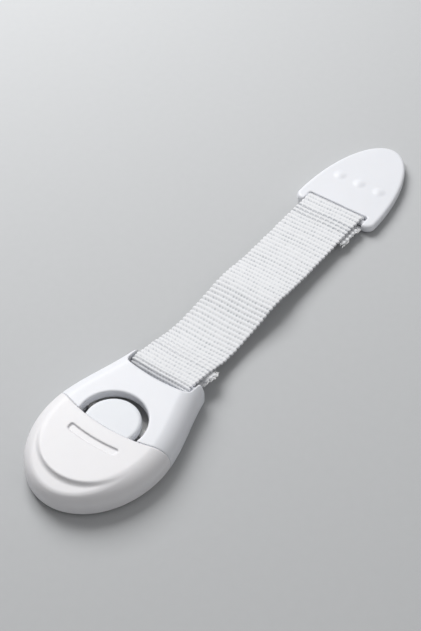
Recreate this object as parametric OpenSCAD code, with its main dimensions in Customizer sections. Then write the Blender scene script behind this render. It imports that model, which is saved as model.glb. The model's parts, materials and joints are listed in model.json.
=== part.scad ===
// Cabinet safety lock: a press-button head and a small tail plate joined by a webbing strap.
// The head's base and cap stay glued to the furniture; the shackle pulls out with the strap.
// Millimetres, +Z up, +X from the head to the tail. The origin lies under the button's centre,
// on the outer face of the head's adhesive pad.

/* [Head] */
// Width of the head at its widest
head_w = 47; // [44:0.5:52]
// Widest place, measured from the button's centre
head_widest_x = -4; // [-5:0.5:-3]
// From the widest place to the front tip
head_front_len = 30; // [28:0.5:33]
// From the button's centre to the strap end of the head
head_end_x = 31; // [30:0.5:34]
// Width of the head at its strap end
head_end_w = 31; // [31:0.5:34]
// Slope of the flank where it reaches the strap end, 0 for level
flank_slope = 0.7; // [0.4:0.1:1]
// Height of the mouldings, without the pad
head_h = 9.7; // [9.5:0.1:11]
// How far in the top edge starts to round
top_round_in = 6.5; // [5.5:0.1:7]
// How far down the side the top edge's round ends
top_round_down = 5.8; // [5:0.1:6.5]
// Radius of the lower edge
low_round = 1.2; // [0.8:0.1:1.5]
// Side wall of the cap and the shackle
wall = 2.6; // [2.4:0.1:2.8]
// Roof of the cap and the shackle
roof = 2.2; // [2:0.1:2.4]

/* [Seam between cap and shackle] */
// Middle of the seam, measured from the button's centre
seam_x = -3.7; // [-4.5:0.1:-3]
// Radius of the seam's bow
seam_r = 62; // [55:1:80]
// Gap along the seam
seam_gap = 0.3; // [0.2:0.05:0.5]

/* [Cap] */
// Radius of the raised face that the front ledge goes round
ledge_r = 17.3; // [16.5:0.1:18]
// Centre of the raised face
ledge_x = -9.9; // [-10.5:0.1:-9]
// Where the ledge starts, from the button's centre
ledge_start_x = -14; // [-15:0.5:-13]
// Slope of the ledge, in degrees
ledge_slope = 4.6; // [3.5:0.1:5]
// Middle of the grip groove
grip_x = -10.6; // [-12:0.1:-10]
// Width of the grip groove
grip_w = 2.7; // [2:0.1:3.5]
// Length of the grip groove
grip_len = 19.6; // [16:0.1:22]
// Depth of the grip groove
grip_depth = 0.7; // [0.4:0.1:1]
// Radius of the cap's two posts
post_r = 1.8; // [1.6:0.1:2]
// Radius of the pin under each post
post_pin_r = 0.9; // [0.8:0.05:1.1]
// Place of the posts, from the button's centre
post_x = -25; // [-26:0.5:-24.5]
// Distance between the posts
post_pitch = 14; // [13:0.5:15]

/* [Base plate] */
// Thickness of the base plate
base_t = 1.6; // [1.4:0.1:1.8]
// Gap from the base plate to the walls round it
base_clear = 0.4; // [0.3:0.1:0.6]
// Rear edge of the base plate, from the button's centre
base_end_x = 16; // [14:0.5:17]

/* [Button] */
// Diameter of the button
button_d = 19.4; // [18:0.1:20]
// Gap round the button
button_gap = 2.3; // [2:0.1:2.6]
// How far the button's face lies below the head's top
button_low = 0.5; // [0.3:0.1:1]
// Thickness of the button's pad
pad_t = 3.5; // [3.2:0.1:3.7]
// Width of the button's arm
arm_w = 15; // [13:0.5:16]
// Thickness of the button's arm
arm_t = 2.2; // [2:0.1:2.4]
// Gap from the arm up to the roof
arm_clear = 0.5; // [0.4:0.1:0.7]
// Pivot of the button, from its centre
pivot_x = -18; // [-18.5:0.5:-17]
// Radius of the button's two pivot pins
pivot_r = 1.5; // [1.3:0.1:1.6]
// Running clearance of the pivot
pivot_clear = 0.05; // [0.03:0.01:0.08]
// Thickness of the bearing walls that carry the pivot
bearing_t = 3.2; // [2.8:0.1:3.4]

/* [Shackle and catch] */
// Length of each leg in front of its catch face
leg_len = 22; // [20:0.5:22.5]
// Width of each leg
leg_w = 3.6; // [3:0.1:3.8]
// Height of each leg
leg_t = 3.5; // [3.2:0.1:3.7]
// Distance between the legs' inner faces
leg_gap = 25.6; // [25.4:0.1:26]
// Rear face of the legs, where the catch holds them
catch_x = 2.1; // [1.8:0.1:2.6]
// Play between the legs and the catch
catch_play = 0.3; // [0.2:0.1:0.5]
// Width of the catch bar along the head
catch_w = 3; // [2.5:0.1:3.5]
// Thickness of the catch bar
catch_t = 1.5; // [1.3:0.1:1.6]
// Thickness of the spring leaf
leaf_t = 0.8; // [0.6:0.1:0.9]
// Width of the spring leaf
leaf_w = 12; // [10:0.5:14]
// Rear wall of the shackle's pocket, from the button's centre
pocket_end_x = 20.5; // [20:0.5:21]

/* [Strap] */
// Width of the webbing
strap_w = 25; // [24:0.5:25.5]
// Thickness of the webbing
strap_t = 1.2; // [1:0.05:1.3]
// Slope of the webbing where it comes down from the head, in degrees
dip_angle = 13; // [11:0.5:16]
// Distance between the two strap bars
strap_span = 109.2; // [90:1:150]
// Radius of the bar in the shackle
head_bar_r = 1.8; // [1.6:0.1:1.9]
// Radius of the bar in the tail plate
tail_bar_r = 1.2; // [1.1:0.05:1.2]
// Clearance of the webbing round a bar
loop_clear = 0.1; // [0.05:0.01:0.1]
// Room beside the webbing in its slots, each side
slot_side = 0.7; // [0.5:0.1:0.8]
// Room past the webbing's loop in the head's slot, where the slot's bowed edge starts
head_slot_room = 1.5; // [1.2:0.1:1.8]
// Room past the webbing's loop in the tail plate's slot
slot_room = 0.9; // [0.7:0.1:1.2]
// Length of the folded end, past the bar
fold_len = 12; // [10:0.5:15]
// Gap at the middle of the webbing, where it bends
bend_gap = 0.9; // [0.85:0.01:0.95]

/* [Tail plate] */
// Width of the tail plate
tail_w = 35; // [33:0.5:38]
// From the straight sides' end to the tip
tail_tip_len = 42.3; // [36:0.5:46]
// Length of the straight sides behind it
tail_side_len = 4.4; // [4:0.1:6]
// Radius of the two rear corners
tail_corner_r = 3.5; // [3:0.1:4]
// Thickness of the tail plate
tail_t = 3; // [2.8:0.1:3.4]
// Radius of the tail plate's edges
tail_edge_r = 1.2; // [0.8:0.1:1.3]
// From the tail plate's rear edge to its bar
tail_bar_in = 2.6; // [2.4:0.1:2.8]
// Diameter of the three domes
dome_d = 4.6; // [3.5:0.1:6]
// Height of the domes
dome_h = 0.7; // [0.4:0.1:1]
// Distance between the domes
dome_pitch = 8.9; // [7:0.1:9.5]
// From the tail plate's bar to the domes
dome_from_bar = 17.8; // [14:0.1:22]

/* [Adhesive pads] */
// Thickness of the foam
foam_t = 1; // [0.8:0.1:1.2]
// Thickness of the release liner
liner_t = 0.15; // [0.1:0.05:0.2]
// Margin from the plate's edge to the foam
foam_in = 1.2; // [0.8:0.1:2]
// How far the liner stands out past the foam
liner_out = 0.3; // [0:0.1:0.6]

/* [Hidden] */
$fn = 64;
front_steps = 40;
flank_steps = 8;
round_steps = 6;
cut = 200;
fuse = 0.2;
fold_rise = 28;
tuck = 0.02;
thread = 0.3;
stitch_len = 2.2;
stitch_count = 7;
stitch_pitch = 3.1;
skirt_lift = 0.15;
bar_drop = 4.6;
loop_proud = 0.1;
peg_r = 1.2;
peg_from_pivot = 6.5;
foot_len = 5;
riser_in = 2.6;
bearing_rim = 1;
snap_share = 0.7;
slot_corner_r = 2;
catch_pin_r = 1;
pivot_share = 1 / 3;

// Levels
plate_z = liner_t + foam_t;
floor_z = plate_z + base_t;
skirt_z = plate_z + skirt_lift;
top_z = skirt_z + head_h;
roof_z = top_z - roof;
arm_top_z = roof_z - arm_clear;
arm_z = arm_top_z - arm_t;
pivot_z = arm_z + arm_t * pivot_share;
pad_top_z = top_z - button_low;
pad_z = pad_top_z - pad_t;
leg_top_z = roof_z - arm_clear;
leg_z = leg_top_z - leg_t;
catch_z = leg_z + fuse;
hole_r = button_d / 2 + button_gap;
peg_x = pivot_x + peg_from_pivot;

// Strap bars: their centres, the loops round them and the line of the webbing
head_loop_r = head_bar_r + loop_clear;
tail_loop_r = tail_bar_r + loop_clear;
head_bar_x = head_end_x - head_loop_r - strap_t + loop_proud;
head_bar_z = top_z - bar_drop;
tail_bar_x = head_bar_x + strap_span;
tail_bar_z = plate_z + tail_t / 2;
slot_half = strap_w / 2 + slot_side;
head_slot_x = head_bar_x - head_loop_r - strap_t - head_slot_room;
tail_slot_x = tail_bar_x + tail_loop_r + strap_t + slot_room;
level_z = tail_bar_z + tail_loop_r - tuck;
dip_len = (head_bar_z - level_z + (head_loop_r - tuck) * cos(dip_angle)) / sin(dip_angle);
bend_x = head_bar_x + strap_span / 2;

// Tail plate
tail_rear_x = tail_bar_x - tail_bar_in;
tail_wide_x = tail_rear_x + tail_side_len;
dome_r = (dome_h * dome_h + dome_d * dome_d / 4) / (2 * dome_h);

// Share of the flank's narrowing at t from 0 at the widest place to 1 at the strap end
function flank(t) = (3 - flank_slope) * t * t + (flank_slope - 2) * t * t * t;

// Half the head's width on the flank, at t
function flank_half(t) = head_w / 2 - (head_w - head_end_w) / 2 * flank(t);

// Head outline drawn in by d: rear left, round the front, rear right
function head_ring(d) = concat(
    [for (i = [flank_steps:-1:1])
        [head_widest_x + (head_end_x - head_widest_x) * i / flank_steps, flank_half(i / flank_steps) - d]],
    [for (i = [0:front_steps])
        let (a = 90 + 180 * i / front_steps)
        [head_widest_x + (head_front_len - d) * cos(a), (head_w / 2 - d) * sin(a)]],
    [for (i = [1:flank_steps])
        [head_widest_x + (head_end_x - head_widest_x) * i / flank_steps, d - flank_half(i / flank_steps)]]);

// Tail outline drawn in by d: rear left corner, left side, round the tip, back to the rear right corner
function tail_ring(d) = concat(
    [for (i = [0:round_steps])
        let (a = 180 + 90 * i / round_steps)
        [tail_rear_x + tail_corner_r + (tail_corner_r - d) * cos(a),
         -tail_w / 2 + tail_corner_r + (tail_corner_r - d) * sin(a)]],
    [for (i = [0:front_steps])
        let (a = -90 + 180 * i / front_steps)
        [tail_wide_x + (tail_tip_len - d) * cos(a), (tail_w / 2 - d) * sin(a)]],
    [for (i = [0:round_steps])
        let (a = 90 + 90 * i / round_steps)
        [tail_rear_x + tail_corner_r + (tail_corner_r - d) * cos(a),
         tail_w / 2 - tail_corner_r + (tail_corner_r - d) * sin(a)]]);

// Levels of a moulding with rounded edges, from its foot up: [how far in, height]
function soft_levels(z, h, low, high_in, high_down) = concat(
    [for (i = [0:2]) let (a = 90 - 45 * i) [low * (1 - cos(a)), z + low * (1 - sin(a))]],
    [for (i = [0:round_steps])
        let (a = 90 * i / round_steps)
        [high_in * (1 - cos(a)), z + h - high_down * (1 - sin(a))]]);

// Closed solid through rings of equal count, lowest first
module loft(rings) {
    n = len(rings[0]);
    m = len(rings);
    points = [for (ring = rings) each ring];
    sides = [for (k = [0:m - 2], i = [0:n - 1])
        let (a = k * n + i, b = k * n + (i + 1) % n)
        each [[a, a + n, b + n], [a, b + n, b]]];
    foot = [[for (i = [0:n - 1]) i]];
    top = [[for (i = [n - 1:-1:0]) (m - 1) * n + i]];
    polyhedron(points, concat(sides, foot, top), convexity = 6);
}

// Outer form of the whole head
module head_form() {
    loft([for (level = soft_levels(skirt_z, head_h, low_round, top_round_in, top_round_down))
        [for (p = head_ring(level[0])) [p[0], p[1], level[1]]]]);
}

// Head outline drawn in by d, from z up by h
module head_prism(d, z, h) {
    translate([0, 0, z]) linear_extrude(h) polygon(head_ring(d));
}

// Everything behind a line across the head
module behind(x) {
    translate([x, -cut / 2, -cut / 2]) cube([cut, cut, cut]);
}

// Everything behind the bowed seam, moved back by shift
module behind_seam(shift) {
    translate([seam_x + seam_r, 0, -cut / 2]) cylinder(r = seam_r - shift, h = cut, $fn = 180);
}

// Slot with rounded front corners, open at the far end
module slot_cut(x, length, r) {
    translate([x, 0, -cut / 2]) linear_extrude(cut) {
        translate([r, -slot_half]) square([length - r, 2 * slot_half]);
        translate([0, r - slot_half]) square([length, 2 * (slot_half - r)]);
        for (side = [-1, 1]) translate([r, side * (slot_half - r)]) circle(r);
    }
}

// The head's slot. Between its round corners its front edge is bowed like the seam
module head_slot() {
    half = slot_half - slot_corner_r;
    bow = seam_r - sqrt(seam_r * seam_r - half * half);
    slot_cut(head_slot_x, cut, slot_corner_r);
    intersection() {
        translate([head_slot_x - bow, -half, -cut / 2]) cube([cut, 2 * half, cut]);
        translate([head_slot_x - bow + seam_r, 0, -cut / 2]) cylinder(r = seam_r, h = cut, $fn = 180);
    }
}

// Round bar across the head or the tail
module cross_bar(x, z, r) {
    translate([x, 0, z]) rotate([90, 0, 0]) cylinder(r = r, h = 2 * slot_half + 2 * fuse, center = true);
}

// Shape drawn in x and z, extruded across by width
module across(width) {
    rotate([90, 0, 0]) linear_extrude(width, center = true) children();
}

// Where the folded end of a webbing loop comes up to the upper layer, along +x from the bar
function fold_meet(r) = (r - tuck) * (1 + cos(fold_rise)) / sin(fold_rise);

// Side view of a webbing loop: upper layer, turn round the bar and folded end, along +x from the bar.
// The upper layer has length run, and then turns up by angle for the length of rest, if there is any.
// The two layers lie a tuck nearer to the bar than the turn does, so that they run into it.
module loop_profile(r, run, angle = 0, rest = 0) {
    outer = r + strap_t;
    middle = r + strap_t / 2;
    layer = r - tuck;
    meet = fold_meet(r);
    lap = sqrt(tuck * (2 * middle - tuck));
    lap_angle = asin(lap / middle);
    turn = 180 + fold_rise + 2 * lap_angle;
    far = [run, layer] + rest * [cos(angle), sin(angle)];
    polygon(concat([[-lap, layer], [run, layer]],
        rest > 0 ? [far, far + strap_t * [-sin(angle), cos(angle)]] : [],
        [[run - strap_t * tan(angle / 2), layer + strap_t], [-lap, layer + strap_t]]));
    intersection() {
        difference() {
            circle(outer);
            circle(r);
        }
        polygon(concat([[0, 0]], [for (i = [0:round_steps + 2])
            let (a = 90 - lap_angle + turn * i / (round_steps + 2))
            2 * outer * [cos(a), sin(a)]]));
    }
    intersection() {
        rotate(fold_rise) translate([-lap, -layer - strap_t]) square([meet + strap_t + lap, strap_t]);
        translate([0, -2 * outer]) square([2 * meet, 2 * outer + layer + fuse]);
    }
    translate([meet, layer - strap_t]) square([fold_len - meet, strap_t + fuse]);
}

// Stitches above and below the folded end, along +x from the bar
module stitches(r) {
    layer = r - tuck;
    seam_at = (fold_meet(r) + fold_len) / 2;
    for (i = [0:stitch_count - 1], z = [layer + strap_t, layer - strap_t - thread])
        translate([seam_at, (i - (stitch_count - 1) / 2) * stitch_pitch, z + thread / 2])
            cube([2 * thread, stitch_len, thread], center = true);
}

module head_liner() {
    color("ivory") intersection() {
        head_prism(wall + base_clear + foam_in - liner_out, 0, liner_t);
        translate([base_end_x - foam_in + liner_out - cut, -cut / 2, 0]) cube([cut, cut, liner_t]);
    }
}

module head_foam() {
    color("whitesmoke") intersection() {
        head_prism(wall + base_clear + foam_in, liner_t, foam_t);
        translate([base_end_x - foam_in - cut, -cut / 2, 0]) cube([cut, cut, cut]);
    }
}

module base_plate() {
    bearing_top_z = pivot_z + pivot_r;
    bearing_l = 2 * (pivot_r + bearing_rim);
    color("white") difference() {
        union() {
            difference() {
                head_prism(wall + base_clear, plate_z, base_t);
                behind(base_end_x);
            }
            for (side = [-1, 1]) translate([pivot_x - bearing_l / 2, 0, floor_z - fuse])
                translate([0, side * (arm_w / 2 + catch_play + bearing_t / 2) - bearing_t / 2, 0])
                    cube([bearing_l, bearing_t, bearing_top_z - floor_z + fuse]);
            translate([peg_x, 0, floor_z - fuse]) cylinder(r = peg_r, h = leaf_t + 2 * fuse);
        }
        translate([pivot_x, 0, pivot_z]) rotate([90, 0, 0])
            cylinder(r = pivot_r + pivot_clear, h = cut, center = true);
        translate([pivot_x - pivot_r * snap_share, -cut / 2, pivot_z])
            cube([2 * pivot_r * snap_share, cut, cut]);
        for (side = [-1, 1]) translate([post_x, side * post_pitch / 2, plate_z - fuse])
            cylinder(r = post_pin_r + pivot_clear, h = base_t + 2 * fuse);
    }
}

module front_cap() {
    color("snow") union() {
        difference() {
            head_form();
            behind_seam(-seam_gap / 2);
            head_prism(wall, 0, roof_z);
            difference() {
                translate([ledge_start_x, 0, top_z]) rotate([0, -ledge_slope, 0])
                    translate([-cut, -cut / 2, 0]) cube([cut, cut, cut]);
                translate([ledge_x, 0, 0]) cylinder(r = ledge_r, h = cut, $fn = 120);
            }
            grip_groove();
        }
        for (side = [-1, 1]) translate([post_x, side * post_pitch / 2, 0]) {
            translate([0, 0, floor_z]) cylinder(r = post_r, h = roof_z - floor_z + fuse);
            translate([0, 0, plate_z + fuse]) cylinder(r = post_pin_r, h = base_t);
        }
    }
}

// Shallow groove in the cap, bowed like the seam
module grip_groove() {
    bow_x = grip_x + seam_r;
    intersection() {
        translate([bow_x, 0, top_z - grip_depth]) difference() {
            cylinder(r = seam_r + grip_w / 2, h = cut, $fn = 180);
            translate([0, 0, -fuse]) cylinder(r = seam_r - grip_w / 2, h = cut, $fn = 180);
        }
        translate([grip_x - grip_w, -grip_len / 2, 0]) cube([3 * grip_w, grip_len, cut]);
    }
}

module catch_spring() {
    bar_x = catch_x + catch_play;
    color("gainsboro") union() {
        difference() {
            across(leaf_w) polygon([
                [peg_x - foot_len / 2, floor_z], [peg_x + foot_len / 2, floor_z],
                [bar_x + fuse, catch_z + fuse], [bar_x + fuse, catch_z + fuse + leaf_t],
                [peg_x + foot_len / 2, floor_z + leaf_t], [peg_x - foot_len / 2, floor_z + leaf_t]]);
            translate([peg_x, 0, 0]) cylinder(r = peg_r + pivot_clear, h = cut);
        }
        translate([bar_x, -leg_gap / 2 - leg_w, catch_z]) cube([catch_w, leg_gap + 2 * leg_w, catch_t]);
        translate([bar_x + catch_w / 2, 0, catch_z + catch_t - fuse])
            cylinder(r = catch_pin_r, h = pad_z - catch_z - catch_t + fuse - pivot_clear);
    }
}

module button() {
    color("ghostwhite") union() {
        intersection() {
            translate([0, 0, pad_z]) cylinder(d = button_d, h = pad_t, $fn = 120);
            behind_seam(seam_gap);
        }
        translate([pivot_x - pivot_r, -arm_w / 2, arm_z]) cube([-pivot_x + pivot_r, arm_w, arm_t]);
        translate([pivot_x, 0, pivot_z]) rotate([90, 0, 0])
            cylinder(r = pivot_r, h = arm_w + 2 * (catch_play + bearing_t), center = true);
    }
}

// One of the two legs that reach under the cap, with a sloped lead-in and a riser to the roof
module leg() {
    lead = leg_t / 2;
    across(leg_w) polygon([
        [catch_x, leg_z], [catch_x, roof_z + fuse],
        [seam_x + riser_in, roof_z + fuse], [seam_x + riser_in, leg_top_z],
        [catch_x - leg_len, leg_top_z], [catch_x - leg_len, leg_z + lead],
        [catch_x - leg_len + lead, leg_z]]);
}

module shackle() {
    color("white") union() {
        difference() {
            intersection() {
                head_form();
                behind_seam(seam_gap / 2);
            }
            difference() {
                head_prism(wall, 0, roof_z);
                behind(pocket_end_x);
            }
            cylinder(r = hole_r, h = cut, $fn = 120);
            head_slot();
        }
        cross_bar(head_bar_x, head_bar_z, head_bar_r);
        for (side = [-1, 1]) intersection() {
            translate([0, side * (leg_gap + leg_w) / 2, 0]) leg();
            head_prism(wall + base_clear, 0, cut);
        }
    }
}

module strap_head_half() {
    level_start_x = head_bar_x + (head_loop_r - tuck) * sin(dip_angle) + dip_len * cos(dip_angle);
    color("white") translate([head_bar_x, 0, head_bar_z]) across(strap_w) rotate(-dip_angle)
        loop_profile(head_loop_r, dip_len, dip_angle, bend_x - bend_gap / 2 - level_start_x);
}

module head_stitching() {
    color("white") translate([head_bar_x, 0, head_bar_z])
        rotate([0, dip_angle, 0]) stitches(head_loop_r);
}

module strap_tail_half() {
    color("white") translate([tail_bar_x, 0, tail_bar_z]) across(strap_w)
        mirror([1, 0]) loop_profile(tail_loop_r, tail_bar_x - bend_x - bend_gap / 2);
}

module tail_stitching() {
    color("white") translate([tail_bar_x, 0, tail_bar_z]) mirror([1, 0, 0]) stitches(tail_loop_r);
}

module tail_plate() {
    top = plate_z + tail_t;
    color("white") union() {
        difference() {
            loft([for (level = soft_levels(plate_z, tail_t, tail_edge_r / 2, tail_edge_r, tail_edge_r))
                [for (p = tail_ring(level[0])) [p[0], p[1], level[1]]]]);
            translate([tail_slot_x, 0, 0]) mirror([1, 0, 0]) slot_cut(0, cut, slot_room);
        }
        cross_bar(tail_bar_x, tail_bar_z, tail_bar_r);
        for (i = [-1:1]) translate([tail_bar_x + dome_from_bar, i * dome_pitch, top]) intersection() {
            translate([0, 0, dome_h - dome_r]) sphere(dome_r);
            translate([0, 0, -fuse]) cylinder(d = 2 * dome_d, h = dome_h + 2 * fuse);
        }
    }
}

// Tail outline drawn in by d, in front of the webbing's slot
module tail_pad_prism(d, z, h) {
    difference() {
        translate([0, 0, z]) linear_extrude(h) polygon(tail_ring(d));
        translate([tail_slot_x + d - cut, -cut / 2, -cut / 2]) cube([cut, cut, cut]);
    }
}

module tail_foam() {
    color("whitesmoke") tail_pad_prism(tail_edge_r + foam_in, liner_t, foam_t);
}

module tail_liner() {
    color("ivory") tail_pad_prism(tail_edge_r + foam_in - liner_out, 0, liner_t);
}

head_liner();
head_foam();
base_plate();
front_cap();
catch_spring();
button();
shackle();
strap_head_half();
head_stitching();
strap_tail_half();
tail_stitching();
tail_plate();
tail_foam();
tail_liner();
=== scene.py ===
"""Looks of an adhesive cabinet safety lock: a head with a button, ribbed webbing and a tail plate."""
import json
import math

import bpy
import numpy as np
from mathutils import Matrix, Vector


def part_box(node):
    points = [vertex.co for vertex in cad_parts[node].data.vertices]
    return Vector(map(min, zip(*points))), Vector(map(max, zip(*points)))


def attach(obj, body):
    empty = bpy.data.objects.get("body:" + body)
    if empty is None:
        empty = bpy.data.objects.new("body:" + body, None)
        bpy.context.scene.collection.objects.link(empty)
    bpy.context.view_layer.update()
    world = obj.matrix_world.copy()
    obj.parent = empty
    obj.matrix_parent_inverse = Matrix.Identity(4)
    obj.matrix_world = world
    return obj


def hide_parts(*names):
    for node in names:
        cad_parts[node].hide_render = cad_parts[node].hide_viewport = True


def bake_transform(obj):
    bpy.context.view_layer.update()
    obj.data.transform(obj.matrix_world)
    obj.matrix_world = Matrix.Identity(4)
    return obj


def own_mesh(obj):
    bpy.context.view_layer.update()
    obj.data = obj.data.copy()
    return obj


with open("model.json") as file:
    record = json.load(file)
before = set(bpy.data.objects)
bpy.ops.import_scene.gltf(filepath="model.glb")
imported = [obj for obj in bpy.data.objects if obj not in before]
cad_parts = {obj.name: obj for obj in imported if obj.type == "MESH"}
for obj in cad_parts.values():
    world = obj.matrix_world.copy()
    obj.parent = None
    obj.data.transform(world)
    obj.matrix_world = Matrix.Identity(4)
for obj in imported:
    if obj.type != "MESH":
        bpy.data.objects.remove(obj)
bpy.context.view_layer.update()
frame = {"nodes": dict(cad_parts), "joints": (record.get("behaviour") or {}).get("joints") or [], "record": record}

# Sizes are in millimetres. What the frame knows is read from it.
MM = 0.001


def node_box(node):
    """Lowest and highest corner of a CAD node, in mm."""
    low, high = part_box(node)
    return np.array(low) / MM, np.array(high) / MM


def joint_place(name):
    """Place of a hinge, in mm."""
    joint = next(j for j in frame["joints"] if j["name"] == name)
    return np.array(joint["pos_m"]) / MM


cap_low, cap_high = node_box("front_cap")
shackle_low, shackle_high = node_box("shackle")
button_low, button_high = node_box("button")
base_low, base_high = node_box("base_plate")
tail_low, tail_high = node_box("tail_plate")
pivot = joint_place("button_press")
head_bar = joint_place("strap_swing")
tail_bar = joint_place("tail_swing")

# Head
WIDEST_X = -4.0
FRONT_LEN = WIDEST_X - cap_low[0]
END_X = shackle_high[0]
HALF_W = cap_high[1]
END_HALF_W = 15.5
FLANK_SLOPE = 0.7  # at the end, as a share of a straight taper
FLANK_REACH = 1.2  # the flank's curve is followed to this share of its length
SKIRT_Z = shackle_low[2]
TOP_Z = cap_high[2]
TOP_IN = 6.5  # reach of the rounded top edge from the side
TOP_DOWN = 5.8  # reach of the rounded top edge from the top
LOW_R = 1.2
WALL = 2.6
ROOF_T = 2.2
ROOF_Z = TOP_Z - ROOF_T
INSIDE_EDGE_R = 0.2
END_EDGE_R = 2.0
SEAM_X = -3.7
SEAM_R = 62.0  # bow of the seam, the grip groove and the slot
SEAM_GAP = 0.09
SEAM_EDGE_R = 0.1

# How far a form runs into the one that it is joined to
OVERLAP = 0.5

# Cap
LEDGE_X = -9.9  # centre of the raised face's round front
LEDGE_R = 17.3
LEDGE_START_X = -14.0  # where the ledge's slope starts at the top
LEDGE_SLOPE = math.radians(5.6)
LEDGE_FILLET = 1.3
LEDGE_EDGE_R = 0.45
GRIP_X = -10.6
GRIP_W = 2.7
GRIP_LEN = 19.6
GRIP_DEPTH = 0.55
GRIP_CORNER_R = 0.9
GRIP_FLOOR_R = 0.2
GRIP_EDGE_R = 0.12
POST_X = -25.0
POST_Y = 7.0
POST_R = 1.8
PIN_R = 0.9
POST_EDGE_R = 0.1

# Button and shackle
BUTTON_R = 9.7
BUTTON_EDGE_R = 1.1
PAD_T = 3.5
ARM_HALF_W = 7.5
ARM_Z = 6.1
ARM_T = 2.2
ARM_EDGE_R = 0.3
ARM_FILLET = 0.3
PIVOT_R = 1.5
PIVOT_FILLET = 0.2
HOLE_R = 12.0
HOLE_EDGE_R = 0.7
COLLAR_T = 1.4
COLLAR_Z = 7.6
POCKET_END_X = 20.5
SLOT_X = 23.4
SLOT_HALF = 13.2
SLOT_CORNER_R = 2.0
SLOT_EDGE_R = 0.5
HEAD_BAR_R = 1.8
LEG_IN_Y = 12.8
LEG_OUT_Y = 16.4
LEG_Z = 4.8
LEG_TOP_Z = 8.3
LEG_END_X = 2.1
LEG_LEAD = 1.75  # height of the sloped tips
LEG_EDGE_R = 0.3
RISER_X = -1.1
RISER_SINK = 1.0

# Base plate and catch spring
BASE_IN = 3.0
BASE_CORNER_R = 1.0
BASE_EDGE_R = 0.25
FLOOR_Z = 2.75
BEARING_Y = 7.8
BEARING_T = 3.2
BEARING_HALF_L = 2.5
BEARING_EDGE_R = 0.3
BEARING_FILLET = 0.3
BORE_R = 1.55
BORE_EDGE_R = 0.15
MOUTH_HALF_W = 0.7 * PIVOT_R

# Tail plate
TAIL_WIDE_X = 139.0
TAIL_CORNER_R = 3.5
TAIL_TOP_Z = 4.15
TAIL_EDGE_R = 1.2
TAIL_LOW_R = 0.6
TAIL_SLOT_X = 139.95
TAIL_SLOT_CORNER_R = 0.9
TAIL_SLOT_EDGE_R = 0.35
TAIL_BAR_R = 1.2
DOME_X = 155.0
DOME_PITCH = 8.9
DOME_D = 3.8
DOME_H = 0.4
DOME_FILLET = 0.5

# Adhesive pads
FOAM_CORNER_R = 0.6
FOAM_EDGE_R = 0.2

# Grid steps of the meshes, the margin of a grid in steps, and how points settle on a surface
CAP_STEP = 0.32
SHACKLE_STEP = 0.35
BUTTON_STEP = 0.32
BASE_STEP = 0.45
TAIL_STEP = 0.4
FOAM_STEP = 0.4
GRID_MARGIN = 1.5  # in steps
SETTLE_ROUNDS = 4
LEAST_STEEPNESS = 0.05

# Webbing: its route
STRAP_W = 25.0
STRAP_T = 1.2
HEAD_LOOP_R = 2.48
TAIL_LOOP_R = 1.88
DIP = math.radians(13)  # from the head's bar down to the level run
DIP_BEND_R = 30.0
FOLD_RISE = math.radians(28)  # of a folded end up to the layer above
FOLD_BEND_R = 4.0
HEAD_FOLD_LEN = 12.0
TAIL_FOLD_LEN = 15.5
CREST_X = 79.0
CREST_H = 1.7
CREST_L = 10.0
TROUGH_X = 54.0
TROUGH_H = 0.7
TROUGH_L = 11.0
STRAP_SHIFT = 0.4  # to the side of +Y
FOLD_DRIFT = 1.7  # of the folded ends, to the side of -Y
HEAD_DRIFT_START = 8.5  # along the webbing, from the top of the bar
HEAD_DRIFT_LEN = 10.0
TAIL_DRIFT_START = 5.9  # along the webbing, from the top of the bar
TAIL_DRIFT_LEN = 4.0
ROUTE_REACH = 0.1  # for the route's direction

# Webbing: its ribs, the pits between them and the yarns on them, with painted shade down between them
RIB_PITCH = 2.05
ROLL_RIBS = 2  # added where the webbing rolls over the head's bar
ROLL_LEN = 6.0
RIB_WANDER = 0.12
WANDER_ACROSS = 0.31  # radians in a mm
WANDER_ALONG = 0.05  # radians in a mm
VALLEY_DEPTH = 0.42
VALLEY_POWER = 1.6
# The _SHADE values are painted shade: darkness put into the colour in the valleys, the pits, the sewn rows and
# between the yarns, where shade falls
VALLEY_SHADE = 0.2
VALLEY_SPREAD = 0.36  # of the painted shade, as a share of half a rib
PIT_DEPTH = 0.14
PITS_ACROSS = 19
PIT_PITCH = STRAP_W / PITS_ACROSS
PIT_JITTER = 0.12  # in pitches
PIT_SHADE = 0.65
PIT_SPREAD = 0.42  # as a share of half a rib
LEAST_PIT = 0.3  # as a share of the deepest
ROW_SHADES = (0.7, 1.2)  # palest and darkest painted shade of a row of pits
HEAD_SEWN_SHADE = 0.5
TAIL_SEWN_SHADE = 0.95
YARN_RELIEF = 0.11
YARN_SHADE = 0.08
EDGE_TOOTH = 0.8  # how far an edge draws in between two ribs
EDGE_UNEVEN = 0.25
EDGE_ROUND = 0.6
EDGE_LEAST = 0.03  # keeps the edge from closing to nothing
STATIONS_PER_RIB = 5
COLUMNS_PER_PIT = 6
LEAST_LAST_STEP = 0.05  # in ribs
WEAVE_SEED = 4
EDGE_SEEDS = (6, 7)

# Sewing
STITCH_ROWS = 3
STITCH_PITCH = 2.4
STITCH_LEN = 1.6
STITCH_R = 0.11
STITCH_DEPTH = 0.45
STITCH_SINK = 0.25  # of its two ends
STITCH_POWER = 4
STITCH_MARGIN = 1.0
STITCH_HOLD = 1.8  # above 1, the webbing stays down a little beyond each stitch
BETWEEN_STITCHES = 0.4  # share of a valley's depth that is left there
STITCH_POINTS = 9
HEAD_SEWN = 8.6  # from the start of the run to its first row
TAIL_SEWN = 6.0  # from the end of the run to its last row

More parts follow.
